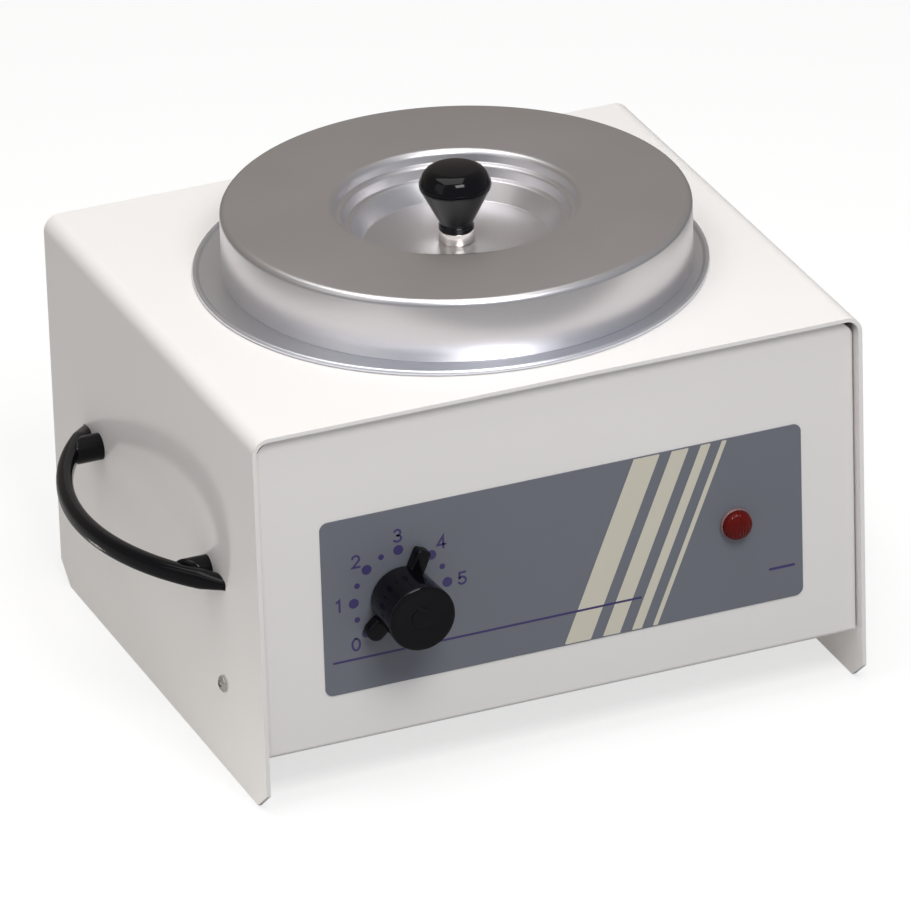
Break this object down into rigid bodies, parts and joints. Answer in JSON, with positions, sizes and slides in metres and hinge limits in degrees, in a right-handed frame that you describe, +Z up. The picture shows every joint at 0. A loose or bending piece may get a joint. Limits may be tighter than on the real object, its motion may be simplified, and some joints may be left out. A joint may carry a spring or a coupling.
{
  "type": "bench wax heater",
  "caption": "Sheet-metal bench wax heater with a lift-out wax pot, spun lid with a knob, thermostat knob, signal lamp and side handles.",
  "frame": {"origin": "on the standing surface, below the centre of the part's bounding box; the box of the heater itself sits 11.75 mm behind it because the control knob stands out of the front", "axes": "+X to the right seen from the front panel, +Y to the rear panel, +Z up through the pot and the lid"},
  "size_m": [0.379, 0.2916, 0.2392],
  "materials": {
    "painted_white": "semi-gloss powder coat",
    "faceplate_grey": "satin printed film",
    "spun_aluminium": "satin, spun",
    "polished_steel": "polished",
    "black_gloss": "glossy moulded",
    "plated_steel": "bright zinc plated",
    "brass": "plain",
    "copper": "drawn copper",
    "phenolic_brown": "moulded",
    "lens_red": "ribbed translucent",
    "lamp_white": "moulded",
    "band_steel": "mill finish",
    "insulation_white": "ceramic fibre",
    "block_ivory": "moulded",
    "wire_brown": "silicone sleeve",
    "wire_black": "silicone sleeve",
    "wire_blue": "silicone sleeve",
    "wire_green": "silicone sleeve"
  },
  "bodies": {
    "housing": {"cover": "painted_white", "chassis": "painted_white", "faceplate": "faceplate_grey", "thermostat_body": "phenolic_brown", "thermostat_bush": "plated_steel", "thermostat_nut": "plated_steel", "thermostat_tabs": "brass", "capillary_tube": "copper", "sensor_bulb": "copper", "bulb_clip": "plated_steel", "lamp_lens": "lens_red", "lamp_bezel": "lamp_white", "lamp_nut": "lamp_white", "lamp_tabs": "brass", "handle_left": "black_gloss", "handle_right": "black_gloss", "handle_screws": "plated_steel", "handle_washers": "plated_steel", "cover_screws": "plated_steel", "clinch_nuts": "plated_steel", "heating_well": "plated_steel", "well_legs": "plated_steel", "leg_screws": "plated_steel", "band_heater": "band_steel", "band_screw": "plated_steel", "band_nut": "plated_steel", "heater_tabs": "brass", "insulation_wrap": "insulation_white", "thermal_cutout": "phenolic_brown", "cutout_tabs": "brass", "floor_nuts": "plated_steel", "terminal_block": "block_ivory", "terminal_screws": "plated_steel", "block_screws": "plated_steel", "earth_stud": "plated_steel", "earth_nut": "plated_steel", "inlet_body": "black_gloss", "inlet_pins": "brass", "inlet_screws": "plated_steel", "inlet_nuts": "plated_steel", "live_wires": "wire_brown", "switched_wires": "wire_black", "neutral_wires": "wire_blue", "earth_wire": "wire_green"},
    "pot": {"pot": "spun_aluminium"},
    "lid": {"lid": "spun_aluminium", "lid_ferrule": "polished_steel", "lid_knob": "black_gloss", "lid_knob_insert": "brass", "lid_knob_screw": "plated_steel"},
    "knob": {"control_knob": "black_gloss", "thermostat_shaft": "plated_steel"}
  },
  "joints": [
    {"name": "pot_lift", "type": "slide", "parent": "housing", "child": "pot", "axis": [0, 0, 1], "range_m": [0, 0.13]},
    {"name": "lid_lift", "type": "slide", "parent": "pot", "child": "lid", "axis": [0, 0, 1], "range_m": [0, 0.06]},
    {"name": "heat_dial", "type": "hinge", "parent": "housing", "child": "knob", "pos_m": [-0.0798, -0.11975, 0.0962], "axis": [0, 1, 0], "range_deg": [0, 218]}
  ]
}
